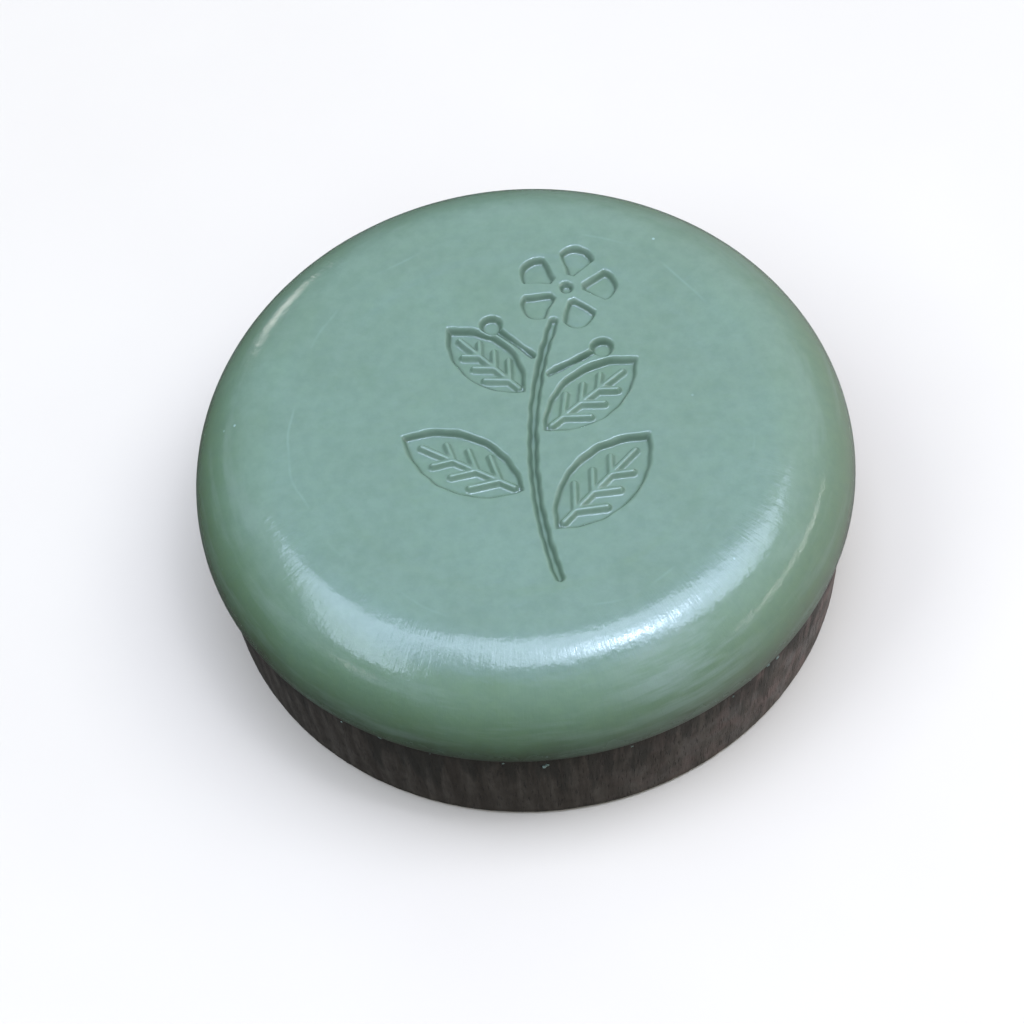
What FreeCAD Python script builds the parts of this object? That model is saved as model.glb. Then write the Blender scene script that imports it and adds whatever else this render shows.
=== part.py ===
import FreeCAD, Part
import os

import Sketcher
from FreeCAD import Placement, Rotation, Vector

# A round shaving soap puck that sits in a low turned wooden dish.
#
# The dish stands on z = 0 with its axis on Z. The puck's plug drops into the dish's recess and
# rests on the recess floor, and its rounded head stands over the rim. A leafy sprig is pressed
# into the head's flat top.

# Driving dimensions, in millimetres and degrees.
SIZES = {
    # The puck: a head with a wide shoulder, and the plug under it.
    "head_radius": 40.0,
    "shoulder_round": 11.0,
    "lip_round": 1.1,
    "plug_radius": 35.6,
    "plug_draft": 0.35,
    "plug_corner": 2.5,
    # The dish: its outside tapers from rim to base.
    "dish_height": 15.6,
    "rim_radius": 39.2,
    "base_radius": 38.3,
    "floor_height": 5.2,
    "rim_ease": 0.8,
    "mouth_ease": 0.5,
    "recess_corner": 2.0,
    "base_ease": 0.6,
    # The gaps between puck and dish.
    "side_gap": 0.35,
    "rim_gap": 0.3,
    # The pressed sprig: its place on the flat, and its depth.
    "sprig_right": 1.0,
    "sprig_back": -9.6,
    "press_depth": 1.0,
    "vein_drop": 0.15,
    # The main stem is an arc of radius stem_bend. Places along it are measured from the point
    # (sprig_right, sprig_back), where it runs straight back.
    "stem_bend": 60.0,
    "stem_start": -13.0,
    "stem_end": 23.5,
    "stem_width": 1.3,
    # The radius of a pressed line's rounded end, as a share of the line's width.
    "end_round_share": 0.55,
    # Leaves: width over length, and the gap to the stem.
    "leaf_width_share": 0.5,
    "leaf_gap": 1.7,
    # Raised veins: where the midrib starts and ends and the side veins leave it, as shares of the
    # leaf's length, and how far the side veins reach, as shares of its width.
    "vein_width": 0.7,
    "vein_angle": 42.0,
    "vein_root": 0.1,
    "midrib_start": 0.08,
    "midrib_end": 0.84,
    "first_vein": 0.2,
    "vein_step": 0.19,
    "vein_reach": 0.44,
    "vein_shrink": 0.07,
    # The blossom past the stem's end. A petal is a wedge with a round end.
    "blossom_gap": 5.4,
    "eye_radius": 0.9,
    "petal_start": 1.9,
    "petal_root_width": 0.9,
    "petal_widest_at": 4.7,
    "petal_width": 4.4,
    "petal_round": 2.3,
    # Side stalks, and the berries past their ends, whose centres lie this share of a radius out.
    "stalk_gap": 1.5,
    "stalk_width": 0.9,
    "berry_radius": 1.4,
    "berry_offset": 0.6,
}

# What grows from the stem: name, place along the stem, side (1 is right), turn from the stem, length.
LEAVES = (
    ("lower_right_leaf", -7.5, 1, 54.0, 17.0),
    ("lower_left_leaf", -1.5, -1, 54.0, 16.5),
    ("upper_right_leaf", 6.5, 1, 48.0, 15.0),
    ("upper_left_leaf", 12.0, -1, 50.0, 13.5),
)
STALKS = (
    ("right_stalk", 15.0, 1, 52.0, 6.5),
    ("left_stalk", 17.5, -1, 58.0, 6.0),
)
PETALS = 5
VEIN_PAIRS = 3

# Geometry numbers that every sketch has: its origin as a point, and its two axes.
ORIGIN = (-1, 1)
ACROSS = -1
UPWARD = -2
START = 1
END = 2
CENTRE = 3

# Lengths under this, in millimetres, count as nothing.
NOTHING = 1e-6

# Heights that both pieces share, worked out from the sheet.
LEDGE = "(Sizes.dish_height + Sizes.rim_gap)"
WIDEST = f"({LEDGE} + Sizes.lip_round)"
TOP = f"({WIDEST} + Sizes.shoulder_round)"
PRESSED = f"({TOP} - Sizes.press_depth)"


def fill_sheet(doc):
    """Puts every driving dimension in a cell whose alias is its name."""
    sheet = doc.addObject("Spreadsheet::Sheet", "Sizes")
    sizes = dict(SIZES)
    for name, place, side, turn, length in LEAVES + STALKS:
        sizes[f"{name}_place"] = place
        sizes[f"{name}_turn"] = -side * turn
        sizes[f"{name}_length"] = length
    for row, (name, size) in enumerate(sizes.items(), start=1):
        sheet.set(f"A{row}", name)
        sheet.set(f"B{row}", str(size))
        sheet.setAlias(f"B{row}", name)
    doc.recompute()
    return sheet


def new_sketch(body, name, plane, right="0", back="0", height="0", turn="0"):
    """A sketch on one of the body's own origin planes, moved and turned by expressions."""
    sketch = body.newObject("Sketcher::SketchObject", name)
    role = f"{plane}_Plane"
    support = next(feature for feature in body.Origin.OriginFeatures if feature.Role == role)
    sketch.AttachmentSupport = [(support, "")]
    sketch.MapMode = "FlatFace"
    sketch.AttachmentOffset = Placement(Vector(), Rotation(Vector(0, 0, 1), 0))
    sketch.setExpression("AttachmentOffset.Base.x", right)
    sketch.setExpression("AttachmentOffset.Base.y", back)
    sketch.setExpression("AttachmentOffset.Base.z", height)
    sketch.setExpression("AttachmentOffset.Rotation.Angle", turn)
    return sketch


def bind(sketch, constraint, expression):
    """Adds a constraint whose size follows an expression."""
    index = sketch.addConstraint(constraint)
    sketch.setExpression(f"Constraints[{index}]", expression)


def pin(sketch, geometry, point, across, upward):
    """Holds a point at (across, upward), which are expressions."""
    for kind, zero_axis, expression in (("DistanceX", UPWARD, across), ("DistanceY", ACROSS, upward)):
        size = sketch.evalExpression(expression)
        if abs(size) < NOTHING:
            sketch.addConstraint(Sketcher.Constraint("PointOnObject", geometry, point, zero_axis))
        elif size > 0:
            bind(sketch, Sketcher.Constraint(kind, *ORIGIN, geometry, point, size), expression)
        else:
            bind(sketch, Sketcher.Constraint(kind, geometry, point, *ORIGIN, -size), f"-({expression})")


def arc_between(start, end, radius):
    """The shorter arc from start to end, turning left for a positive radius and right for a negative."""
    middle = (start + end) / 2
    chord = end - start
    left = Vector(-chord.y, chord.x, 0).normalize()
    rise = max(radius * radius - chord.Length**2 / 4, 0) ** 0.5
    centre = middle + left * (rise if radius > 0 else -rise)
    first, last = (start, end) if radius > 0 else (end, start)
    circle = Part.Circle(centre, Vector(0, 0, 1), abs(radius))
    return Part.ArcOfCircle(circle, circle.parameter(first), circle.parameter(last))


def draw_outline(sketch, corners):
    """Draws a closed outline. A corner is (across, upward), or (across, upward, radius) where an arc
    of that radius leads on to the next corner: to the left if positive, to the right if negative."""
    points = [
        Vector(sketch.evalExpression(corner[0]), sketch.evalExpression(corner[1]), 0) for corner in corners
    ]
    first_ends = []
    for index, corner in enumerate(corners):
        start = points[index]
        end = points[(index + 1) % len(points)]
        if len(corner) == 2:
            geometry = sketch.addGeometry(Part.LineSegment(start, end))
            leave, arrive = START, END
        else:
            radius = sketch.evalExpression(corner[2])
            geometry = sketch.addGeometry(arc_between(start, end, radius))
            leave, arrive = (START, END) if radius > 0 else (END, START)
            size = corner[2] if radius > 0 else f"-({corner[2]})"
            bind(sketch, Sketcher.Constraint("Radius", geometry, abs(radius)), size)
        pin(sketch, geometry, leave, corner[0], corner[1])
        first_ends.append((geometry, leave, arrive))
    for index, (geometry, leave, arrive) in enumerate(first_ends):
        following, following_leave, _ = first_ends[(index + 1) % len(first_ends)]
        joint = Sketcher.Constraint("Coincident", geometry, arrive, following, following_leave)
        sketch.addConstraint(joint)


def draw_circle(sketch, across, upward, radius):
    """Draws a circle whose centre and radius are expressions."""
    centre = Vector(sketch.evalExpression(across), sketch.evalExpression(upward), 0)
    size = sketch.evalExpression(radius)
    circle = sketch.addGeometry(Part.Circle(centre, Vector(0, 0, 1), size))
    pin(sketch, circle, CENTRE, across, upward)
    bind(sketch, Sketcher.Constraint("Radius", circle, size), radius)


def revolve(body, name, sketch):
    """Turns a profile a full turn around the body's axis."""
    turned = body.newObject("PartDesign::Revolution", name)
    turned.Profile = sketch
    turned.ReferenceAxis = (sketch, ["V_Axis"])
    turned.Angle = 360
    sketch.Visibility = False
    body.Document.recompute()
    return turned


def press(body, sketch):
    """Sinks an outline into the flat top, from the top down to the sketch's depth, and checks it cut."""
    before = body.Shape.Volume
    pocket = body.newObject("PartDesign::Pocket", sketch.Name + "_press")
    pocket.Profile = sketch
    pocket.setExpression("Length", "Sizes.press_depth")
    body.Document.recompute()
    if body.Shape.Volume >= before:
        raise RuntimeError(f"{pocket.Name} cut nothing")
    return pocket


def raise_veins(body, sketch):
    """Builds veins up again from a leaf's pressed floor to just under the flat."""
    pad = body.newObject("PartDesign::Pad", sketch.Name + "_rise")
    pad.Profile = sketch
    pad.setExpression("Length", "Sizes.press_depth - Sizes.vein_drop")
    body.Document.recompute()
    return pad


def ring_edges(shape, radius, height):
    """The names of the circular edges around the axis with this radius at this height."""
    found = []
    for number, edge in enumerate(shape.Edges, start=1):
        curve = edge.Curve
        if not isinstance(curve, Part.Circle):
            continue
        if abs(curve.Radius - radius) < NOTHING and abs(curve.Center.z - height) < NOTHING:
            found.append(f"Edge{number}")
    if not found:
        raise RuntimeError(f"no ring of radius {radius} at height {height}")
    return found


def ease_ring(body, kind, name, radius, height, size):
    """Rounds or bevels the ring of this radius at this height; the three sizes are expressions."""
    base = body.Tip
    rings = ring_edges(base.Shape, body.evalExpression(radius), body.evalExpression(height))
    eased = body.newObject(f"PartDesign::{kind}", name)
    eased.Base = (base, rings)
    eased.setExpression("Radius" if kind == "Fillet" else "Size", size)
    body.Document.recompute()


def stem_point(place):
    """Where a place along the stem lies on the flat: two expressions."""
    angle = f"({place} / Sizes.stem_bend * 1 rad)"
    across = f"(Sizes.sprig_right + Sizes.stem_bend * (1 - cos({angle})))"
    upward = f"(Sizes.sprig_back + Sizes.stem_bend * sin({angle}))"
    return across, upward


def stem_heading(place):
    """Which way the stem runs at a place, in degrees from straight right."""
    return f"(90 deg - {place} / Sizes.stem_bend * 1 rad)"


def beside_stem(place, turn, gap):
    """A point that lies a gap away from the stem's middle line, along a heading turned from the stem."""
    across, upward = stem_point(place)
    heading = f"({stem_heading(place)} + {turn} * 1 deg)"
    return f"({across} + {gap} * cos({heading}))", f"({upward} + {gap} * sin({heading}))", heading


def press_stem(body):
    """Presses the main stem: two long arcs around one centre, closed by rounded ends."""
    sketch = new_sketch(body, "stem", "XY", "Sizes.sprig_right", "Sizes.sprig_back", TOP)
    corners = []
    for place, edge in (("start", "-"), ("end", "-"), ("end", "+"), ("start", "+")):
        radius = f"(Sizes.stem_bend {edge} Sizes.stem_width / 2)"
        angle = f"(Sizes.stem_{place} / Sizes.stem_bend * 1 rad)"
        corners.append((f"Sizes.stem_bend - {radius} * cos({angle})", f"{radius} * sin({angle})", radius))
    cap = "Sizes.end_round_share * Sizes.stem_width"
    inner_start, inner_end, outer_end, outer_start = corners
    draw_outline(
        sketch,
        [
            (*inner_start[:2], f"-{inner_start[2]}"),
            (*inner_end[:2], cap),
            outer_end,
            (*outer_start[:2], cap),
        ],
    )
    press(body, sketch)


def press_leaf(body, name):
    """Presses one leaf, then raises its midrib and its side veins."""
    place = f"Sizes.{name}_place"
    length = f"Sizes.{name}_length"
    across, upward, heading = beside_stem(place, f"Sizes.{name}_turn", "Sizes.leaf_gap")

    width = f"({length} * Sizes.leaf_width_share)"
    bend = f"(({length} ^ 2 + {width} ^ 2) / (4 * {width}))"
    blade = new_sketch(body, name, "XY", across, upward, TOP, heading)
    draw_outline(blade, [("0", "0", bend), (length, "0", bend)])
    press(body, blade)

    half_vein = "Sizes.vein_width / 2"
    midrib = new_sketch(body, f"{name}_midrib", "XY", across, upward, PRESSED, heading)
    root = f"{length} * Sizes.midrib_start"
    tip = f"{length} * Sizes.midrib_end"
    draw_outline(
        midrib,
        [(root, f"-{half_vein}"), (tip, f"-{half_vein}"), (tip, half_vein), (root, half_vein)],
    )
    raise_veins(body, midrib)

    veins = new_sketch(body, f"{name}_veins", "XY", across, upward, PRESSED, heading)
    for number in range(VEIN_PAIRS):
        foot = f"{length} * (Sizes.first_vein + {number} * Sizes.vein_step)"
        run = f"{width} * (Sizes.vein_reach - {number} * Sizes.vein_shrink)"
        for side in ("", "-"):
            draw_vein(veins, foot, run, side)
    raise_veins(body, veins)


def draw_vein(sketch, foot, run, side):
    """Draws one side vein of a leaf: a slanting bar that starts on the midrib."""
    slant = "(Sizes.vein_width / 2 / sin(Sizes.vein_angle))"
    reach = f"({run} * cos(Sizes.vein_angle))"
    rise = f"{side}({run} * sin(Sizes.vein_angle))"
    corners = [
        (f"{foot} - {slant}", f"{side}(Sizes.vein_root)"),
        (f"{foot} + {slant}", f"{side}(Sizes.vein_root)"),
        (f"{foot} + {slant} + {reach}", rise),
        (f"{foot} - {slant} + {reach}", rise),
    ]
    draw_outline(sketch, corners)


def press_stalk(body, name):
    """Presses one straight side stalk and the berry on its end."""
    place = f"Sizes.{name}_place"
    length = f"Sizes.{name}_length"
    across, upward, heading = beside_stem(place, f"Sizes.{name}_turn", "Sizes.stalk_gap")
    half = "Sizes.stalk_width / 2"
    cap = "Sizes.end_round_share * Sizes.stalk_width"
    stalk = new_sketch(body, name, "XY", across, upward, TOP, heading)
    draw_outline(stalk, [("0", f"-{half}"), (length, f"-{half}", cap), (length, half), ("0", half, cap)])
    press(body, stalk)
    berry = new_sketch(body, f"{name}_berry", "XY", across, upward, TOP, heading)
    draw_circle(berry, f"{length} + Sizes.berry_offset * Sizes.berry_radius", "0", "Sizes.berry_radius")
    press(body, berry)


def press_blossom(body):
    """Presses a ring of petals around a small round eye, past the stem's end."""
    across, upward, heading = beside_stem("Sizes.stem_end", "0", "Sizes.blossom_gap")
    eye = new_sketch(body, "blossom_eye", "XY", across, upward, TOP, heading)
    draw_circle(eye, "0", "0", "Sizes.eye_radius")
    press(body, eye)
    petal = new_sketch(body, "petal", "XY", across, upward, TOP, heading)
    root = "Sizes.petal_root_width / 2"
    belly = "Sizes.petal_width / 2"
    draw_outline(
        petal,
        [
            ("Sizes.petal_start", f"-{root}"),
            ("Sizes.petal_widest_at", f"-{belly}", "Sizes.petal_round"),
            ("Sizes.petal_widest_at", belly),
            ("Sizes.petal_start", root),
        ],
    )
    first = press(body, petal)
    petals = body.newObject("PartDesign::PolarPattern", "petals")
    petals.Originals = [first]
    petals.Axis = (petal, ["N_Axis"])
    petals.Angle = 360
    petals.Occurrences = PETALS
    body.Tip = petals
    body.Document.recompute()


def make_dish(doc):
    """The wooden dish: a turned blank with a slightly tapered outside and a round recess."""
    body = doc.addObject("PartDesign::Body", "wooden_dish")
    body.Label = "wooden_dish"
    profile = new_sketch(body, "dish_profile", "XZ")
    mouth = "(Sizes.plug_radius + Sizes.side_gap)"
    recess_base = "(Sizes.plug_radius - Sizes.plug_draft + Sizes.side_gap)"
    draw_outline(
        profile,
        [
            ("0", "0"),
            ("Sizes.base_radius", "0"),
            ("Sizes.rim_radius", "Sizes.dish_height"),
            (mouth, "Sizes.dish_height"),
            (recess_base, "Sizes.floor_height"),
            ("0", "Sizes.floor_height"),
        ],
    )
    revolve(body, "dish_turned", profile)
    ease_ring(body, "Chamfer", "base_bevel", "Sizes.base_radius", "0", "Sizes.base_ease")
    ease_ring(body, "Fillet", "rim_outer_round", "Sizes.rim_radius", "Sizes.dish_height", "Sizes.rim_ease")
    ease_ring(body, "Fillet", "mouth_round", mouth, "Sizes.dish_height", "Sizes.mouth_ease")
    ease_ring(body, "Fillet", "recess_round", recess_base, "Sizes.floor_height", "Sizes.recess_corner")
    return body


def make_puck(doc):
    """The soap puck: a head with a wide round shoulder and a small lip, on a plug with a little draft."""
    body = doc.addObject("PartDesign::Body", "soap_puck")
    body.Label = "soap_puck"
    profile = new_sketch(body, "puck_profile", "XZ")
    plug_base = "(Sizes.plug_radius - Sizes.plug_draft)"
    draw_outline(
        profile,
        [
            ("0", "Sizes.floor_height"),
            (plug_base, "Sizes.floor_height"),
            ("Sizes.plug_radius", LEDGE),
            ("Sizes.head_radius - Sizes.lip_round", LEDGE, "Sizes.lip_round"),
            ("Sizes.head_radius", WIDEST, "Sizes.shoulder_round"),
            ("Sizes.head_radius - Sizes.shoulder_round", TOP),
            ("0", TOP),
        ],
    )
    revolve(body, "puck_moulded", profile)
    ease_ring(body, "Fillet", "plug_round", plug_base, "Sizes.floor_height", "Sizes.plug_corner")
    press_stem(body)
    for name, *_ in LEAVES:
        press_leaf(body, name)
    for name, *_ in STALKS:
        press_stalk(body, name)
    press_blossom(body)
    return body


def check(doc, bodies):
    """Stops the build if any object failed or any piece isn't one valid solid."""
    for item in doc.Objects:
        if "Invalid" in item.State or "Error" in item.State:
            raise RuntimeError(f"{item.Name} failed: {item.State}")
    for body in bodies:
        shape = body.Shape
        if shape.isNull() or not shape.isValid() or len(shape.Solids) != 1:
            raise RuntimeError(f"{body.Label} is not one valid solid")


def main():
    doc = FreeCAD.newDocument("shaving_soap")
    fill_sheet(doc)
    bodies = [make_dish(doc), make_puck(doc)]
    doc.recompute()
    check(doc, bodies)
    os.makedirs("parts", exist_ok=True)
    for body in bodies:
        body.Shape.exportStep(os.path.join("parts", f"{body.Label}.step"))
        box = body.Shape.BoundBox
        print(
            f"{body.Label}: {body.Shape.Volume / 1000:.1f} cm3, "
            f"z {box.ZMin:.2f} to {box.ZMax:.2f}, width {box.XLength:.2f}"
        )


main()
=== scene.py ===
import math
import random

import bmesh
import bpy
import numpy as np
from mathutils import Matrix, Quaternion, Vector, noise


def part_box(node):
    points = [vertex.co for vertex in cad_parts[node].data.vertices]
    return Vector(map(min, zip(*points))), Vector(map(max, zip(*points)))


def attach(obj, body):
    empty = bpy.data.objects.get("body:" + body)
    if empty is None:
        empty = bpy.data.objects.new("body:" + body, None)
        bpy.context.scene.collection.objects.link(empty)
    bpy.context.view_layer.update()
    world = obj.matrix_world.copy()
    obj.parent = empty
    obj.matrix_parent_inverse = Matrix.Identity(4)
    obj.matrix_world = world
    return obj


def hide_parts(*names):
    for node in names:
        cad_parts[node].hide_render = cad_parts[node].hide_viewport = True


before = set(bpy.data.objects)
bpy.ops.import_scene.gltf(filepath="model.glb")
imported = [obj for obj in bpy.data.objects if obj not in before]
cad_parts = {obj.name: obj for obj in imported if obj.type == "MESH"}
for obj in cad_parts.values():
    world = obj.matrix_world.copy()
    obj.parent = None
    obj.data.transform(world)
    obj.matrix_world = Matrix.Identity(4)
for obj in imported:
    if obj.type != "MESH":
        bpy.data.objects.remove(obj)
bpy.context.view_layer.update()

MM = 0.001


def millimetres(node):
    """A node's widest radius, lowest height and highest height."""
    low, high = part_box(node)
    return high.x / MM, low.z / MM, high.z / MM


HEAD_RADIUS, PUCK_BASE, PUCK_TOP = millimetres("soap_puck")
RIM_RADIUS, DISH_BASE, DISH_TOP = millimetres("wooden_dish")

# The puck's outline.
SHOULDER_ROUND = 11.0
LIP_ROUND = 1.1
PLUG_RADIUS = 35.6
PLUG_DRAFT = 0.35
PLUG_CORNER = 2.5
LEDGE_CORNER = 0.3
FLAT_RADIUS = HEAD_RADIUS - SHOULDER_ROUND
WIDEST = PUCK_TOP - SHOULDER_ROUND
LEDGE = WIDEST - LIP_ROUND

# The dish's outline: its outside tapers from rim to base, and its recess clears the plug.
BASE_RADIUS = 38.3
BASE_EASE = 0.6
RIM_EASE = 0.8
MOUTH_EASE = 0.5
SIDE_GAP = 0.35
MOUTH_RADIUS = PLUG_RADIUS + SIDE_GAP
RECESS_CORNER = 2.0
RIM_CENTRE = RIM_RADIUS - RIM_EASE

# Meshes: squares across the flat, steps round the dish, and how near counts as touching.
FLAT_CELLS = 116
DISH_STEPS = 1200
TOUCH = 0.01

# Marks of use: where the shoulder was wiped, and where crumbs of soap sit round the dish's wall,
# in degrees from +X.
WIPED_PLACE = (15.5, -32.5, 25.5)
FLECK_ANGLES = (
    *(-128, -121, -112, -101, -94, -91, -76, -58, -52, -49, -46, -38),
    *(-27, -12, 4, 41, 88, 150, 205),
)
FLECK_SINK = 0.1
FLECK_FLATNESS = 0.6

# The pressed sprig. Places along the stem are measured from where it runs straight back.
SPRIG_RIGHT = 1.0
SPRIG_BACK = -9.6
PRESS_DEPTH = 1.0
VEIN_DROP = 0.15
STEM_BEND = 60.0
STEM_START = -13.0
STEM_END = 23.5
STEM_WIDTH = 1.3
LEAF_WIDTH_SHARE = 0.5
LEAF_GAP = 1.7
LEAVES = (  # place along the stem, side (1 is right), turn from the stem, length
    (-7.5, 1, 54.0, 17.0),
    (-1.5, -1, 54.0, 16.5),
    (6.5, 1, 48.0, 15.0),
    (12.0, -1, 50.0, 13.5),
)
VEIN_WIDTH = 0.7
VEIN_ANGLE = 42.0
VEIN_PAIRS = 3
MIDRIB_START = 0.08  # where veins start and end, as shares of the leaf's length
MIDRIB_END = 0.84
FIRST_VEIN = 0.2
VEIN_STEP = 0.19
VEIN_REACH = 0.44  # how far side veins reach, as a share of the leaf's width
VEIN_SHRINK = 0.07
STALKS = (  # the same four values for each berry's stalk
    (15.0, 1, 52.0, 6.5),
    (17.5, -1, 58.0, 6.0),
)
STALK_GAP = 1.5
STALK_WIDTH = 0.9
BERRY_RADIUS = 1.4
BERRY_OFFSET = 0.6  # from the stalk's end, as a share of the radius
BLOSSOM_GAP = 5.4
EYE_RADIUS = 0.9
PETALS = 5
PETAL_START = 1.9
PETAL_ROOT = 0.45
PETAL_WIDEST_AT = 4.7
PETAL_HALF_WIDTH = 2.2
PETAL_ROUND = 2.3

# The walls of a pressed line start just outside its outline and lean inwards. They are rounded
# at the top and meet the pressed floor in a crease.
WALL_OUT = 0.16
WALL_IN = -0.5
WALL_BULGE = 0.9

# A raised vein's sides, inward and outward from its own outline.
VEIN_IN = -0.25
VEIN_OUT = 0.3

# Where the painted shade in a crease is darkest, outward from the wall's foot, and how wide it is.
CREASE_OFFSET = 0.12
CREASE_WIDTH = 0.2

# The flat dips very slightly inside the stamp's own edge.
STAMP_RADIUS = 24.0
STAMP_EASE = 0.3
STAMP_DROP = 0.04

# The stamp's wear: how far its edges waver, the share of depth lost where it's most worn, and
# how far apart the wavers and the worn places are.
EDGE_WAVER = 0.09
WAVER_PITCH = 3.3
DEPTH_LOSS = 0.3
WEAR_PITCH = 17.0

# The flat's squares are halved this near to a pressed edge, once for each number.
SPLIT_REACHES = (0.75, 0.5)


# ---- The sprig as distances: negative inside a shape, positive outside, in millimetres ----


def stem_at(place):
    """Where a place along the stem lies, and the stem's heading there."""
    angle = place / STEM_BEND
    x = SPRIG_RIGHT + STEM_BEND * (1 - math.cos(angle))
    y = SPRIG_BACK + STEM_BEND * math.sin(angle)
    return x, y, math.pi / 2 - angle


def beside_stem(place, turn, gap):
    """A point off the stem, and the heading that leads away from it."""
    x, y, heading = stem_at(place)
    heading += turn
    return x + gap * math.cos(heading), y + gap * math.sin(heading), heading


def seen_from(x, y, origin):
    """Points as seen from an origin: how far along its heading, and how far to its left."""
    ox, oy, heading = origin
    along = (x - ox) * math.cos(heading) + (y - oy) * math.sin(heading)
    aside = (y - oy) * math.cos(heading) - (x - ox) * math.sin(heading)
    return along, aside


def to_disc(x, y, centre_x, centre_y, radius):
    return np.hypot(x - centre_x, y - centre_y) - radius


def to_bar(along, aside, first, last, width):
    """Distance to a straight bar with round ends."""
    return np.hypot(along - np.clip(along, first, last), aside) - width / 2


def to_stem(x, y):
    angle = np.arctan2(y - SPRIG_BACK, SPRIG_RIGHT + STEM_BEND - x)
    nearest = np.clip(angle, STEM_START / STEM_BEND, STEM_END / STEM_BEND)
    near_x = SPRIG_RIGHT + STEM_BEND * (1 - np.cos(nearest))
    near_y = SPRIG_BACK + STEM_BEND * np.sin(nearest)
    return np.hypot(x - near_x, y - near_y) - STEM_WIDTH / 2


def to_blade(along, aside, length):
    """Distance to a leaf's outline, which is two equal arcs."""
    width = length * LEAF_WIDTH_SHARE
    bend = (length**2 + width**2) / (4 * width)
    offset = bend - width / 2
    left = to_disc(along, aside, length / 2, -offset, bend)
    right = to_disc(along, aside, length / 2, offset, bend)
    return np.maximum(left, right)


def to_veins(along, aside, length):
    """Distance to a leaf's midrib and side veins."""
    width = length * LEAF_WIDTH_SHARE
    nearest = to_bar(along, aside, MIDRIB_START * length, MIDRIB_END * length, VEIN_WIDTH)
    slant = math.radians(VEIN_ANGLE)
    for number in range(VEIN_PAIRS):
        foot = (FIRST_VEIN + VEIN_STEP * number) * length
        run = (VEIN_REACH - VEIN_SHRINK * number) * width
        for side in (1, -1):
            on, off = seen_from(along, aside, (foot, 0, side * slant))
            nearest = np.minimum(nearest, to_bar(on, off, 0, run, VEIN_WIDTH))
    return nearest


def to_petal(along, aside):
    """Distance to a petal: a wedge with a round end."""
    flare = math.atan2(PETAL_HALF_WIDTH - PETAL_ROOT, PETAL_WIDEST_AT - PETAL_START)
    side = (np.abs(aside) - PETAL_ROOT) * math.cos(flare) - (along - PETAL_START) * math.sin(flare)
    wedge = np.maximum(side, PETAL_START - along)
    centre = PETAL_WIDEST_AT - math.sqrt(PETAL_ROUND**2 - PETAL_HALF_WIDTH**2)
    end = to_disc(along, aside, centre, 0, PETAL_ROUND)
    return np.where(along > PETAL_WIDEST_AT, end, wedge)


def waves(x, y, pitch):
    """Gentle unevenness between -1 and 1 over the flat, with bumps about pitch apart. Its odd
    factors keep the bumps out of rows."""
    u = x * math.tau / pitch
    v = y * math.tau / pitch
    return 0.5 * (np.sin(u + 1.2 * np.sin(0.6 * v)) + np.sin(1.3 * v + 1.1 * np.sin(0.7 * u)))


def sprig_distances(x, y):
    """Distance to the nearest pressed shape, and to the nearest raised vein. The stamp's edges
    waver a little."""
    pressed = to_stem(x, y)
    veins = np.full_like(x, np.inf)
    for place, side, turn, length in LEAVES:
        origin = beside_stem(place, -side * math.radians(turn), LEAF_GAP)
        along, aside = seen_from(x, y, origin)
        pressed = np.minimum(pressed, to_blade(along, aside, length))
        veins = np.minimum(veins, to_veins(along, aside, length))
    for place, side, turn, length in STALKS:
        origin = beside_stem(place, -side * math.radians(turn), STALK_GAP)
        along, aside = seen_from(x, y, origin)
        pressed = np.minimum(pressed, to_bar(along, aside, 0, length, STALK_WIDTH))
        berry = to_disc(along, aside, length + BERRY_OFFSET * BERRY_RADIUS, 0, BERRY_RADIUS)
        pressed = np.minimum(pressed, berry)
    blossom = beside_stem(STEM_END, 0, BLOSSOM_GAP)
    along, aside = seen_from(x, y, blossom)
    pressed = np.minimum(pressed, to_disc(along, aside, 0, 0, EYE_RADIUS))
    for petal in range(PETALS):
        on, off = seen_from(along, aside, (0, 0, petal * math.tau / PETALS))
        pressed = np.minimum(pressed, to_petal(on, off))
    return pressed + EDGE_WAVER * waves(x, y, WAVER_PITCH), veins


def ease(value, low, high):
    """A smooth step from 0 at low to 1 at high."""
    share = np.clip((value - low) / (high - low), 0, 1)
    return share * share * (3 - 2 * share)


def pressed_height(x, y):
    """How far the pressed surface lies below the flat at each point, as a negative height."""
    pressed, veins = sprig_distances(x, y)
    up_wall = np.clip((pressed - WALL_IN) / (WALL_OUT - WALL_IN), 0, 1)
    sunk = (1 - up_wall) ** 2 * (1 + WALL_BULGE * up_wall)
    raised = 1 - ease(veins, VEIN_IN, VEIN_OUT)
    keep = 1 - (1 - VEIN_DROP / PRESS_DEPTH) * raised
    worn = 1 - DEPTH_LOSS * (0.5 + 0.5 * waves(x, y, WEAR_PITCH))
    disc = 1 - ease(np.hypot(x, y), STAMP_RADIUS - STAMP_EASE, STAMP_RADIUS + STAMP_EASE)
    return -PRESS_DEPTH * sunk * keep * worn - STAMP_DROP * disc


# ---- Meshes ----


def arc(centre, radius, first, last, steps):
    """Points along an arc of the outline, from one angle to another in degrees."""
    angles = np.radians(np.linspace(first, last, steps + 1))
    return [(centre[0] + radius * math.cos(a), centre[1] + radius * math.sin(a)) for a in angles]


def line(start, end, steps):
    """Points along a straight stretch, without its two ends."""
    shares = [step / steps for step in range(1, steps)]
    return [tuple(a + (b - a) * share for a, b in zip(start, end)) for share in shares]


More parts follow.
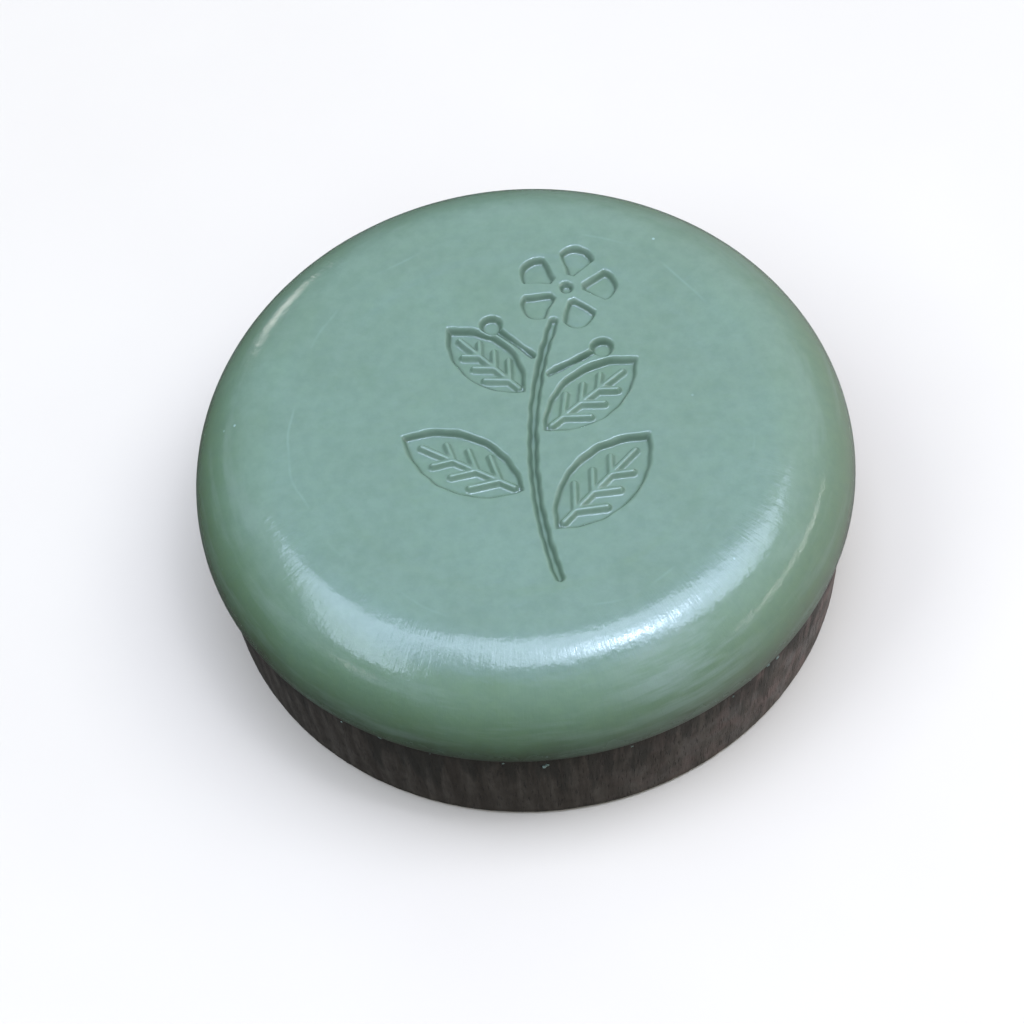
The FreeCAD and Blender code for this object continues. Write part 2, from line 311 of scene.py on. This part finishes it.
def add_rings(bm, outline, count, first_ring=None):
    """Turns an outline of (radius, height) points round the axis, and returns its last ring."""
    ring = first_ring
    for radius, height in outline:
        angles = (math.tau * step / count for step in range(count))
        points = [(radius * math.cos(a), radius * math.sin(a), height) for a in angles]
        following = [bm.verts.new(point) for point in points]
        if ring:
            for step in range(count):
                after = (step + 1) % count
                bm.faces.new((ring[step], following[step], following[after], ring[after]))
        ring = following
    return ring


def disc_point(u, v, radius):
    """Maps a point of a square onto a disc so that the square's border becomes evenly spaced."""
    if u == 0 and v == 0:
        return 0.0, 0.0
    if abs(u) >= abs(v):
        reach, angle = u, math.pi / 4 * v / u
    else:
        reach, angle = v, math.pi / 2 - math.pi / 4 * u / v
    return radius * reach * math.cos(angle), radius * reach * math.sin(angle)


def add_disc(bm, radius, height, cells):
    """A flat disc of squares that faces up."""
    grid = []
    for row in range(cells + 1):
        v = 2 * row / cells - 1
        spots = (disc_point(2 * column / cells - 1, v, radius) for column in range(cells + 1))
        grid.append([bm.verts.new((x, y, height)) for x, y in spots])
    for row in range(cells):
        for column in range(cells):
            square = [
                grid[row][column],
                grid[row][column + 1],
                grid[row + 1][column + 1],
                grid[row + 1][column],
            ]
            bm.faces.new(square)


def close_middle(bm, ring, height):
    """Closes a ring with a fan of faces round one point in its middle."""
    centre = bm.verts.new((0, 0, height))
    for step, vert in enumerate(ring):
        bm.faces.new((vert, centre, ring[(step + 1) % len(ring)]))


def add_disc_base(bm, ring):
    """Closes a ring with smaller rings and a fan in the middle."""
    radius = math.hypot(ring[0].co.x, ring[0].co.y)
    height = ring[0].co.z
    steps = 6
    outline = [(radius * (1 - step / (steps + 1)), height) for step in range(1, steps + 1)]
    inner = add_rings(bm, outline, len(ring), ring)
    close_middle(bm, inner, height)


def split_near_sprig(bm, reach, height):
    """Halves the squares of the flat top that lie within reach of a pressed edge."""
    faces = [f for f in bm.faces if f.calc_center_median().z > height - TOUCH]
    centres = np.array([f.calc_center_median() for f in faces])
    pressed, veins = sprig_distances(centres[:, 0], centres[:, 1])
    middle = (WALL_IN + WALL_OUT) / 2
    near_edge = np.abs(pressed - middle) < reach
    near_vein = (np.abs(veins) < reach) & (pressed < 0)
    chosen = {e for f, hit in zip(faces, near_edge | near_vein) if hit for e in f.edges}
    bmesh.ops.subdivide_edges(bm, edges=list(chosen), cuts=1, use_grid_fill=True)


def finish_mesh(bm, name, material):
    """Scales a mesh to metres, shades it smooth and puts it in the scene."""
    bmesh.ops.recalc_face_normals(bm, faces=bm.faces)
    mesh = bpy.data.meshes.new(name)
    bmesh.ops.scale(bm, vec=(MM, MM, MM), verts=bm.verts)
    bm.to_mesh(mesh)
    bm.free()
    mesh.shade_smooth()
    mesh.materials.append(material)
    piece = bpy.data.objects.new(name, mesh)
    bpy.context.scene.collection.objects.link(piece)
    return piece


def puck_outline():
    """The puck's side from the flat's edge round the shoulder and lip to the foot of the plug."""
    shoulder = arc((FLAT_RADIUS, WIDEST), SHOULDER_ROUND, 90, 0, 36)[1:]
    lip = arc((HEAD_RADIUS - LIP_ROUND, WIDEST), LIP_ROUND, 0, -90, 8)[1:]
    ledge_corner = (PLUG_RADIUS + LEDGE_CORNER, LEDGE - LEDGE_CORNER)
    inner = arc(ledge_corner, LEDGE_CORNER, 90, 180, 4)
    ledge = line(lip[-1], inner[0], 3)
    foot_radius = PLUG_RADIUS - PLUG_DRAFT
    corner_centre = (foot_radius - PLUG_CORNER, PUCK_BASE + PLUG_CORNER)
    foot = arc(corner_centre, PLUG_CORNER, 0, -90, 8)
    plug = line(inner[-1], foot[0], 5)
    return shoulder + lip + ledge + inner + plug + foot


def uneven(point, scale, seed):
    """Smooth noise between 0 and 1 at a point, one cycle over about scale millimetres."""
    return 0.5 + 0.5 * noise.noise(Vector(point) / scale + Vector((seed, seed, seed)))


def handled_depth(vert):
    """How far the soap is worn in at a point, by broad dents and by small ones."""
    return 0.05 * uneven(vert.co, 14, 3) + 0.015 * uneven(vert.co, 4, 8)


def press_sprig(bm):
    """Sinks the sprig into the flat, and returns how near each point of it is to a crease."""
    points = np.array([v.co for v in bm.verts])
    on_top = points[:, 2] > PUCK_TOP - TOUCH
    heights = pressed_height(points[:, 0], points[:, 1])
    for vert, height, sinks in zip(bm.verts, heights, on_top):
        if sinks:
            vert.co.z += height
    pressed, _ = sprig_distances(points[:, 0], points[:, 1])
    return on_top * np.exp(-(((pressed - WALL_IN - CREASE_OFFSET) / CREASE_WIDTH) ** 2))


def move_inward(bm, depths):
    """Moves each point in along its normal, by its own depth."""
    for vert, depth in zip(bm.verts, depths):
        vert.co -= vert.normal * depth


def make_puck(material):
    """The soap puck, with the sprig pressed into its flat and its surface a little uneven."""
    bm = bmesh.new()
    add_disc(bm, FLAT_RADIUS, PUCK_TOP, FLAT_CELLS)
    for reach in SPLIT_REACHES:
        split_near_sprig(bm, reach, PUCK_TOP)
    border = [v for v in bm.verts if v.is_boundary]
    border.sort(key=lambda vert: math.atan2(vert.co.y, vert.co.x) % math.tau)
    last = add_rings(bm, puck_outline(), len(border), border)
    add_disc_base(bm, last)
    creases = press_sprig(bm)
    bmesh.ops.recalc_face_normals(bm, faces=bm.faces)
    bm.normal_update()
    move_inward(bm, [handled_depth(vert) for vert in bm.verts])
    layer = bm.verts.layers.float.new("crease")
    for vert, share in zip(bm.verts, creases):
        vert[layer] = share
    crowded = [f for f in bm.faces if len(f.verts) > 4]
    bmesh.ops.triangulate(bm, faces=crowded)
    return finish_mesh(bm, "puck_soap", material)


def dish_outline():
    """The dish from the middle of its underside, up the wall, over the rim and down to its floor."""
    wall_foot = (BASE_RADIUS, DISH_BASE + BASE_EASE)
    rim = arc((RIM_CENTRE, DISH_TOP - RIM_EASE), RIM_EASE, -5, 90, 8)
    mouth = arc((MOUTH_RADIUS + MOUTH_EASE, DISH_TOP - MOUTH_EASE), MOUTH_EASE, 90, 180, 5)
    floor_radius = MOUTH_RADIUS - PLUG_DRAFT
    corner = arc((floor_radius - RECESS_CORNER, PUCK_BASE + RECESS_CORNER), RECESS_CORNER, 0, -90, 8)
    underside = [(BASE_RADIUS * step / 10, DISH_BASE) for step in range(1, 10)]
    bevel = [(BASE_RADIUS - BASE_EASE, DISH_BASE), wall_foot]
    wall = line(wall_foot, rim[0], 14)
    land = line(rim[-1], mouth[0], 3)
    recess = line(mouth[-1], corner[0], 6)
    floor = [(corner[-1][0] * step / 10, PUCK_BASE) for step in range(9, 0, -1)]
    return underside + bevel + wall + rim + land + mouth + recess + corner + floor


def upright_grain(point, pitch, seed):
    """Noise that runs up the wood's grain: fast across it and slow along it."""
    spot = Vector((point[0] / pitch, point[1] / pitch, point[2] / (14 * pitch) + seed))
    return 0.5 + 0.5 * noise.noise(spot)


def worn_depth(vert):
    """How far the dish's wall and rim are worn in at a point. Its base and recess are smooth."""
    on_base = vert.co.z < DISH_BASE + TOUCH
    on_recess_floor = vert.normal.z > 0.5 and vert.co.z < DISH_TOP - 1
    if on_base or on_recess_floor:
        return 0
    fine = 0.06 * (1 - upright_grain(vert.co, 0.9, 5))
    coarse = 0.05 * (1 - upright_grain(vert.co, 2.6, 2))
    return fine + coarse


def make_dish(material):
    """The wooden dish, with its grain standing a little proud up the wall."""
    bm = bmesh.new()
    last = add_rings(bm, dish_outline(), DISH_STEPS)
    bm.verts.ensure_lookup_table()
    close_middle(bm, bm.verts[:DISH_STEPS], DISH_BASE)
    close_middle(bm, last, PUCK_BASE)
    bmesh.ops.recalc_face_normals(bm, faces=bm.faces)
    bm.normal_update()
    move_inward(bm, [worn_depth(vert) for vert in bm.verts])
    return finish_mesh(bm, "turned_dish", material)


def make_flecks(material):
    """Crumbs of dried soap caught along the dish's rim, just under the puck's lip."""
    draw = random.Random(7)
    bm = bmesh.new()
    radius = RIM_RADIUS - FLECK_SINK
    for angle in FLECK_ANGLES:
        size = draw.uniform(0.16, 0.36)
        turn = math.radians(angle + draw.uniform(-2, 2))
        height = DISH_TOP - draw.uniform(0.8, 2.2)
        width = draw.uniform(0.8, 1.8) * size
        shape = Matrix.Diagonal((FLECK_FLATNESS * size, width, size, 1))
        facing = Matrix.Rotation(turn, 4, "Z")
        spot = Matrix.Translation((radius * math.cos(turn), radius * math.sin(turn), height))
        crumb = bmesh.ops.create_icosphere(bm, subdivisions=2, radius=1.0)
        for vert in crumb["verts"]:
            lumps = noise.noise(vert.co * 1.3 + Vector((angle, 0, 0)))
            vert.co = spot @ facing @ shape @ (vert.co * (0.7 + 0.6 * lumps))
    return finish_mesh(bm, "soap_flecks", material)


# ---- Materials ----


def fill_ramp(node, stops):
    """Gives a colour ramp node its stops, each a place and a colour."""
    elements = node.color_ramp.elements
    while len(elements) < len(stops):
        elements.new(0.5)
    for element, (place, colour) in zip(elements, stops):
        element.position = place
        element.color = (*colour, 1)


class Recipe:
    """A material's node tree, with short calls for the nodes that it needs."""

    def __init__(self, name):
        self.material = bpy.data.materials.new(name)
        self.material.use_nodes = True
        self.tree = self.material.node_tree
        self.shader = self.tree.nodes["Principled BSDF"]

    def add(self, kind, inputs=None, **settings):
        """Adds a node. Inputs are numbers, colours, or another node's output to link."""
        node = self.tree.nodes.new(kind)
        for name, setting in settings.items():
            setattr(node, name, setting)
        for socket, given in (inputs or {}).items():
            self.feed(node.inputs[socket], given)
        return node

    def feed(self, socket, given):
        """Links another node's output to a socket, or gives the socket a value."""
        if isinstance(given, bpy.types.NodeSocket):
            self.tree.links.new(given, socket)
        else:
            socket.default_value = given

    def place(self):
        """The surface point in millimetres, in the object's own frame."""
        spot = self.add("ShaderNodeTexCoord").outputs["Object"]
        inputs = {0: spot, "Scale": 1 / MM}
        return self.add("ShaderNodeVectorMath", inputs, operation="SCALE").outputs[0]

    def length(self, vector):
        """How long a vector is."""
        node = self.add("ShaderNodeVectorMath", {0: vector}, operation="LENGTH")
        return node.outputs["Value"]

    def along(self, vector, axis):
        """A vector's part along X, Y or Z."""
        return self.add("ShaderNodeSeparateXYZ", {0: vector}).outputs[axis]

    def stretch(self, vector, along):
        """Multiplies a vector by one factor for each axis."""
        inputs = {0: vector, 1: along}
        return self.add("ShaderNodeVectorMath", inputs, operation="MULTIPLY").outputs[0]

    def grain(self, vector, scale, detail=3.0, rough=0.55):
        """Noise between 0 and 1, with scale features to a millimetre."""
        inputs = {"Vector": vector, "Scale": scale, "Detail": detail, "Roughness": rough}
        return self.add("ShaderNodeTexNoise", inputs).outputs["Fac"]

    def span(self, value, low, high, first=0.0, last=1.0):
        """Maps low..high to first..last, and no further."""
        inputs = {0: value, 1: low, 2: high, 3: first, 4: last}
        return self.add("ShaderNodeMapRange", inputs).outputs[0]

    def maths(self, operation, first, second):
        """Works on two numbers, or on the first alone."""
        return self.add("ShaderNodeMath", {0: first, 1: second}, operation=operation).outputs[0]

    def blend(self, share, first, second):
        """Mixes two colours."""
        node = self.add("ShaderNodeMix", data_type="RGBA")
        self.feed(node.inputs[0], share)
        self.feed(node.inputs[6], first)
        self.feed(node.inputs[7], second)
        return node.outputs[2]

    def ramp(self, value, stops):
        """A colour for each value, from (place, colour) stops."""
        node = self.add("ShaderNodeValToRGB", {0: value})
        node.color_ramp.interpolation = "B_SPLINE"
        fill_ramp(node, stops)
        return node.outputs[0]

    def relief(self, height, depth, under=None):
        """Bumps the surface by a height of 0 to 1 that is worth depth millimetres."""
        inputs = {"Height": height, "Distance": depth * MM, "Strength": 1.0}
        node = self.add("ShaderNodeBump", inputs)
        if under:
            self.feed(node.inputs["Normal"], under)
        return node.outputs[0]

    def set(self, **given):
        """Feeds the shader's own sockets, named with underscores for spaces."""
        for name, value in given.items():
            self.feed(self.shader.inputs[name.replace("_", " ")], value)


def around_axis(recipe, place, turns, rise):
    """A vector that changes fast round the axis and slowly up it, with no seam."""
    flat = recipe.stretch(place, (1, 1, 0))
    ring = recipe.add("ShaderNodeVectorMath", {0: flat}, operation="NORMALIZE").outputs[0]
    ring = recipe.stretch(ring, (turns, turns, 1))
    lift = recipe.stretch(place, (0, 0, rise))
    return recipe.add("ShaderNodeVectorMath", {0: ring, 1: lift}, operation="ADD").outputs[0]


def soap_body(soap, place, height, radius):
    """Greener down the side, bluer on top as a painted reflection of the cool ceiling, and darker
    towards the lip as painted shade; painted light towards +X and painted shade low on the -X flank;
    plain on the plug.
    """
    waver = soap.span(soap.grain(place, 0.16, 3.0), 0.2, 0.8, -1.2, 1.2)
    level = soap.span(soap.maths("ADD", height, waver), LEDGE, PUCK_TOP)
    # The soap's green, with painted shade darkening it towards the lip and a painted reflection of
    # the cool ceiling making the top bluer.
    green_with_painted_light = soap.ramp(
        level,
        (
            (0.0, (0.024, 0.026, 0.016)),
            (0.12, (0.045, 0.051, 0.028)),
            (0.25, (0.071, 0.104, 0.049)),
            (0.42, (0.094, 0.147, 0.066)),
            (0.75, (0.097, 0.149, 0.077)),
            (1.0, (0.128, 0.178, 0.125)),
        ),
    )
    # Painted light: the soap grows paler towards +X, where the right-hand lights fall.
    side = soap.along(place, "X")
    painted_sunlit_side = soap.span(side, -HEAD_RADIUS, HEAD_RADIUS, 0.0, 0.26)
    green_with_painted_light = soap.blend(painted_sunlit_side, green_with_painted_light, (0.17, 0.2, 0.13, 1))
    # Painted shade: the lower flank grows darker towards -X.
    low = soap.span(height, WIDEST + 1, PUCK_TOP - 4, 1.0, 0.0)
    shade = soap.maths("MULTIPLY", low, soap.span(side, -HEAD_RADIUS, 0.45 * HEAD_RADIUS, 0.42, 0.0))
    green_with_painted_light = soap.blend(shade, green_with_painted_light, (0.026, 0.043, 0.008, 1))
    above_plug = soap.span(radius, PLUG_RADIUS + 0.5, PLUG_RADIUS + 2.5)
    body = soap.blend(above_plug, (0.105, 0.158, 0.085, 1), green_with_painted_light)
    return soap.blend(soap.span(height, WIDEST + 3, WIDEST + 5), body, green_with_painted_light)


def soap_clouds(soap, place, body):
    """Large pale clouds and small dark mottles in the soap."""
    pale = soap.blend(0.5, body, (0.17, 0.25, 0.18, 1))
    cloudy = soap.blend(soap.span(soap.grain(place, 0.07, 2.0), 0.35, 0.75, 0.0, 0.35), body, pale)
    mottle = soap.span(soap.grain(place, 0.6, 4.0, 0.65), 0.35, 0.65, 0.0, 0.3)
    return soap.blend(mottle, cloudy, (0.085, 0.13, 0.085, 1))


def soap_smears(soap, place, radius, colour):
    """Soft smears that run round the shoulder, where the soap has bloomed and been wiped. They
    are plainest in one place."""
    streaks = soap.grain(soap.stretch(place, (0.06, 0.06, 0.55)), 1.0, 4.0, 0.6)
    wiped = soap.add("ShaderNodeVectorMath", {0: place, 1: WIPED_PLACE}, operation="DISTANCE")
    near_wipe = soap.span(wiped.outputs["Value"], 5, 12, 0.75, 0.0)
    plain_smear = soap.maths("MULTIPLY", soap.span(streaks, 0.42, 0.58), near_wipe)
    smear = soap.maths("MAXIMUM", plain_smear, soap.span(streaks, 0.5, 0.7, 0.0, 0.35))
    off_flat = soap.span(radius, FLAT_RADIUS - 1, FLAT_RADIUS + 6)
    return soap.blend(soap.maths("MULTIPLY", smear, off_flat), colour, (0.175, 0.22, 0.165, 1))


def soap_arc(soap, place, radius, colour):
    """A faint broken arc round the edge of the flat, left by the press."""
    round_edge = around_axis(soap, place, 2.0, 0.0)
    wander = soap.span(soap.grain(round_edge, 1.0, 1.0), 0.0, 1.0, -2.5, 2.5)
    from_arc = soap.maths("SUBTRACT", soap.maths("ADD", radius, wander), FLAT_RADIUS - 1.5)
    arc_share = soap.span(soap.maths("ABSOLUTE", from_arc, 0.0), 0.03, 0.25, 0.1, 0.0)
    kept = soap.span(soap.grain(around_axis(soap, place, 2.5, 0.0), 1.0, 3.0), 0.5, 0.62)
    return soap.blend(soap.maths("MULTIPLY", arc_share, kept), colour, (0.3, 0.4, 0.34, 1))


def soap_specks(soap, place, colour):
    """Pale specks, here and there."""
    dots = soap.add("ShaderNodeTexVoronoi", {"Vector": place, "Scale": 0.2}, feature="F1")
    speck = soap.span(dots.outputs["Distance"], 0.02, 0.045, 0.5, 0.0)
    few = soap.span(soap.grain(place, 0.11, 1.0), 0.5, 0.56)
    return soap.blend(soap.maths("MULTIPLY", speck, few), colour, (0.32, 0.42, 0.38, 1))


def soap_relief(soap, place, radius):
    """Fine drags across the shoulder, and waxy unevenness at three scales."""
    drags = soap.grain(around_axis(soap, place, 90, 0.25), 1.0, 3.0, 0.7)
    on_shoulder = soap.span(radius, FLAT_RADIUS - 3, FLAT_RADIUS + 1)
    scored = soap.relief(soap.maths("MULTIPLY", drags, on_shoulder), 0.022)
    waxy = soap.relief(soap.grain(place, 0.4, 2.0), 0.05, scored)
    pebbled = soap.relief(soap.grain(place, 1.5, 2.0), 0.024, waxy)
    return soap.relief(soap.grain(place, 4.0, 2.0), 0.005, pebbled)


def soap_material():
    """Waxy sage soap."""
    soap = Recipe("sage_soap")
    place = soap.place()
    height = soap.along(place, "Z")
    radius = soap.length(soap.stretch(place, (1, 1, 0)))
    colour = soap_clouds(soap, place, soap_body(soap, place, height, radius))
    colour = soap_smears(soap, place, radius, colour)
    colour = soap_arc(soap, place, radius, colour)
    colour = soap_specks(soap, place, colour)

    # Painted shade: the foot of each pressed wall is darker, in the crease where shade gathers.
    crease = soap.add("ShaderNodeAttribute", attribute_name="crease").outputs["Fac"]
    colour = soap.blend(soap.maths("MULTIPLY", crease, 0.5), colour, (0.035, 0.06, 0.035, 1))

    gloss = soap.span(soap.grain(place, 0.3, 4.0), 0.3, 0.7, 0.1, 0.19)
    dull = soap.span(height, LEDGE, LEDGE + 5, 0.2, 0.0)
    soap.set(
        Base_Color=colour,
        Roughness=soap.maths("ADD", gloss, dull),
        IOR=1.56,
        Subsurface_Weight=0.2,
        Subsurface_Radius=(0.7, 1.0, 0.75),
        Subsurface_Scale=0.001,
        Normal=soap_relief(soap, place, radius),
    )
    return soap.material


PITH = (-70, 28, 0)


def wood_rings(wood, place):
    """Growth rings round a pith that lies outside the dish, swaying a little."""
    sway = wood.grain(wood.stretch(place, (0.1, 0.1, 0.01)), 1.0, 2.0)
    from_pith = wood.add("ShaderNodeVectorMath", {0: place, 1: PITH}, operation="SUBTRACT")
    reach = wood.length(wood.stretch(from_pith.outputs[0], (1, 1, 0)))
    bent = wood.maths("ADD", reach, wood.maths("MULTIPLY", sway, 4.0))
    return wood.span(wood.maths("SINE", wood.maths("MULTIPLY", bent, 2.6), 0.0), -1, 1)


def wood_painted_light(wood, place, colour):
    """Paler patches, some of them redder, growing towards the dish's +X side: painted light where the
    right-hand lamp falls on the wood.
    """
    patches = wood.grain(wood.stretch(place, (1, 1, 0.5)), 0.5, 4.0, 0.6)
    pale_lit_patches = wood.span(patches, 0.42, 0.58, 0.2, 1.0)
    # Painted light: the pale patches grow towards +X, where the right-hand lamp falls.
    pale_lit_patches = wood.maths("MULTIPLY", pale_lit_patches, wood.span(wood.along(place, "X"), 0, RIM_RADIUS, 0.0, 0.85))
    red = wood.span(wood.grain(place, 0.3, 3.0), 0.42, 0.58)
    pale = wood.blend(red, (0.19, 0.155, 0.135, 1), (0.21, 0.138, 0.118, 1))
    return wood.blend(pale_lit_patches, colour, pale)


def wood_damp_and_shade(wood, place, colour):
    """Dark streaks that run down from the rim. Damp stains make part of them, and the rest is painted
    shade under the puck's lip.
    """
    runs = wood.grain(wood.stretch(place, (0.55, 0.55, 0.05)), 1.0, 4.0, 0.65)
    # Painted shade: darkest right under the rim, where the puck's lip overhangs.
    near_rim = wood.span(wood.along(place, "Z"), DISH_TOP - 12, DISH_TOP, -0.18, 0.12)
    damp_and_shade = wood.span(wood.maths("ADD", runs, near_rim), 0.48, 0.6, 0.0, 0.62)
    return wood.blend(damp_and_shade, colour, (0.02, 0.018, 0.013, 1))


def wood_material():
    """Dark wood under a stain, with its grain upright: streaks up the wall, growth rings across it.
    """
    wood = Recipe("dark_wood")
    place = wood.place()
    fibres = wood.grain(wood.stretch(place, (1, 1, 0.09)), 1.7, 5.0, 0.7)
    mottle = wood.grain(place, 0.5, 4.0, 0.6)
    pores = wood.grain(wood.stretch(place, (1, 1, 0.15)), 4.2, 2.0, 0.5)
    open_pores = wood.span(pores, 0.3, 0.42, 1.0, 0.0)

    rings_share = wood.maths("MULTIPLY", wood_rings(wood, place), 0.12)
    tone = wood.maths("ADD", rings_share, wood.maths("MULTIPLY", fibres, 0.6))
    tone = wood.maths("ADD", tone, wood.maths("MULTIPLY", mottle, 0.28))
    colour = wood.ramp(
        tone,
        (
            (0.3, (0.034, 0.024, 0.016)),
            (0.5, (0.06, 0.045, 0.033)),
            (0.7, (0.12, 0.096, 0.074)),
        ),
    )
    colour = wood_damp_and_shade(wood, place, wood_painted_light(wood, place, colour))
    colour = wood.blend(wood.maths("MULTIPLY", open_pores, 0.5), colour, (0.018, 0.013, 0.01, 1))
    height = wood.maths("SUBTRACT", fibres, wood.maths("MULTIPLY", open_pores, 0.5))
    wood.set(
        Base_Color=colour,
        Roughness=wood.span(fibres, 0.3, 0.7, 0.62, 0.82),
        Specular_IOR_Level=0.35,
        Normal=wood.relief(height, 0.12),
    )
    return wood.material


def fleck_material():
    """Dried crumbs of soap, paler than the puck."""
    crumb = Recipe("dried_soap")
    place = crumb.place()
    mottle = crumb.grain(place, 2.0)
    colour = crumb.ramp(mottle, ((0.3, (0.12, 0.17, 0.14)), (0.7, (0.28, 0.33, 0.29))))
    relief = crumb.relief(crumb.grain(place, 6.0), 0.04)
    crumb.set(Base_Color=colour, Roughness=0.7, Normal=relief)
    return crumb.material


def floor_material():
    """Smooth pale studio board, paler far off where the lights don't reach."""
    board = Recipe("pale_floor")
    place = board.place()
    clouds = board.grain(place, 0.02)
    colour = board.ramp(clouds, ((0.3, (0.56, 0.465, 0.37)), (0.7, (0.58, 0.485, 0.385))))
    far_off = board.span(board.length(place), 150, 900)
    colour = board.blend(far_off, colour, (0.95, 0.79, 0.6, 1))
    board.set(Base_Color=colour, Roughness=0.9, Specular_IOR_Level=0.1)
    return board.material


# ---- Stage ----


def make_floor():
    """A pale floor. It is flagged off, so that it throws no light up at the object's sides."""
    bpy.ops.mesh.primitive_plane_add(size=8, location=(0, 0, DISH_BASE * MM))
    floor = bpy.context.object
    floor.name = "floor"
    floor.data.materials.append(floor_material())
    floor.visible_glossy = False
    floor.visible_diffuse = False


def add_light(name, place, size, glow, colour, turn=0, aimed=False):
    """A rectangular soft light. Its glow is its radiance. It faces the object if it's aimed,
    and straight down if it isn't."""
    data = bpy.data.lights.new(name, "AREA")
    data.shape = "RECTANGLE"
    data.size, data.size_y = size
    data.energy = glow * math.pi * size[0] * size[1]
    data.color = colour
    lamp = bpy.data.objects.new(name, data)
    lamp.location = place
    facing = Quaternion((0, 0, 1), math.radians(turn))
    if aimed:
        facing = (-Vector(place)).to_track_quat("-Z", "Y") @ facing
    lamp.rotation_euler = facing.to_euler()
    lamp.visible_camera = False
    bpy.context.scene.collection.objects.link(lamp)


def world_ramp(tree, value, stops):
    """Colours that follow a value, each stop a place and a colour."""
    ramp = tree.nodes.new("ShaderNodeValToRGB")
    tree.links.new(value, ramp.inputs[0])
    fill_ramp(ramp, stops)
    return ramp.outputs[0]


def room_colour(tree, axes):
    """Cool above, dark below like a dark tabletop, and brighter on the right."""
    upward = world_ramp(
        tree,
        axes.outputs["Z"],
        (
            (0.0, (0.05, 0.05, 0.05)),
            (0.6, (0.3, 0.38, 0.42)),
            (0.78, (0.26, 0.34, 0.32)),
            (0.9, (0.36, 0.46, 0.85)),
        ),
    )
    rightward = tree.nodes.new("ShaderNodeMapRange")
    tree.links.new(axes.outputs["X"], rightward.inputs[0])
    rightward.inputs["To Max"].default_value = 0.3
    total = tree.nodes.new("ShaderNodeMix")
    total.data_type = "RGBA"
    total.blend_type = "ADD"
    total.inputs[0].default_value = 1.0
    tree.links.new(upward, total.inputs[6])
    tree.links.new(rightward.outputs[0], total.inputs[7])
    return total.outputs[2]


def make_world():
    """The room round the object. The camera sees a plain pale wall instead of it, which meets
    the far floor at about the same grey."""
    world = bpy.data.worlds.new("studio")
    world.use_nodes = True
    tree = world.node_tree
    direction = tree.nodes.new("ShaderNodeTexCoord").outputs["Generated"]
    axes = tree.nodes.new("ShaderNodeSeparateXYZ")
    tree.links.new(direction, axes.inputs[0])
    room = tree.nodes["Background"]
    tree.links.new(room_colour(tree, axes), room.inputs["Color"])
    room.inputs["Strength"].default_value = 2.0
    wall = tree.nodes.new("ShaderNodeBackground")
    greys = ((0.0, (0.59, 0.59, 0.6)), (0.12, (0.8, 0.81, 0.83)))
    tree.links.new(world_ramp(tree, axes.outputs["Z"], greys), wall.inputs["Color"])
    seen = tree.nodes.new("ShaderNodeMixShader")
    tree.links.new(tree.nodes.new("ShaderNodeLightPath").outputs["Is Camera Ray"], seen.inputs[0])
    tree.links.new(room.outputs[0], seen.inputs[1])
    tree.links.new(wall.outputs[0], seen.inputs[2])
    tree.links.new(seen.outputs[0], tree.nodes["World Output"].inputs["Surface"])
    bpy.context.scene.world = world


def make_lights():
    """A cool ceiling in panels with a lamp in it, and low lights on both sides and behind."""
    cool = (0.64, 0.77, 1.0)
    warm = (1.0, 0.96, 0.92)
    add_light("ceiling", (0.14, -0.035, 0.6), (0.52, 0.36), 6.2, cool)
    add_light("ceiling_left", (-0.46, -0.13, 0.6), (0.72, 0.34), 5.4, cool, turn=50)
    add_light("ceiling_right", (0.45, 0.035, 0.6), (0.24, 0.3), 6.0, cool, turn=30)
    add_light("ceiling_glow", (0.14, -0.075, 0.59), (0.24, 0.13), 6.0, cool)
    add_light("ceiling_lamp", (0.138, -0.085, 0.58), (0.08, 0.045), 34.0, cool)
    add_light("right_strip", (0.97, -0.17, 0.23), (0.8, 0.022), 9.0, warm, turn=-9, aimed=True)
    add_light("left_strip", (-0.8, -0.48, 0.36), (0.2, 0.03), 4.5, warm, aimed=True)
    add_light("back_window", (-0.45, 0.85, 0.1), (0.16, 0.16), 3.8, warm, aimed=True)


CAMERA_PITCH = math.radians(57.5)
CAMERA_ROLL = math.radians(-6.8)
CAMERA_LENS = 105.5
CAMERA_DISTANCE = 9.108 * HEAD_RADIUS
CAMERA_RIGHT = -0.053 * HEAD_RADIUS
CAMERA_UP = -0.128 * HEAD_RADIUS


def make_camera():
    """The camera looks down at the middle of the widest ring, a little tilted to one side."""
    forward = Vector((0, math.cos(CAMERA_PITCH), -math.sin(CAMERA_PITCH)))
    right = Vector((1, 0, 0))
    up = right.cross(forward)
    place = Vector((0, 0, WIDEST)) - forward * CAMERA_DISTANCE + right * CAMERA_RIGHT + up * CAMERA_UP
    tilted_right = right * math.cos(CAMERA_ROLL) + up * math.sin(CAMERA_ROLL)
    tilted_up = up * math.cos(CAMERA_ROLL) - right * math.sin(CAMERA_ROLL)
    data = bpy.data.cameras.new("camera")
    data.lens = CAMERA_LENS
    camera = bpy.data.objects.new("camera", data)
    axes = Matrix((tilted_right, tilted_up, -forward)).transposed()
    camera.matrix_world = Matrix.Translation(place * MM) @ axes.to_4x4()
    bpy.context.scene.collection.objects.link(camera)
    bpy.context.scene.camera = camera


make_camera()
make_lights()
make_world()
make_floor()
bpy.context.scene.view_settings.view_transform = "Standard"

puck = make_puck(soap_material())
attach(puck, "puck")
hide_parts("soap_puck")
dish = make_dish(wood_material())
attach(dish, "dish")
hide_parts("wooden_dish")
flecks = make_flecks(fleck_material())
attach(flecks, "dish")
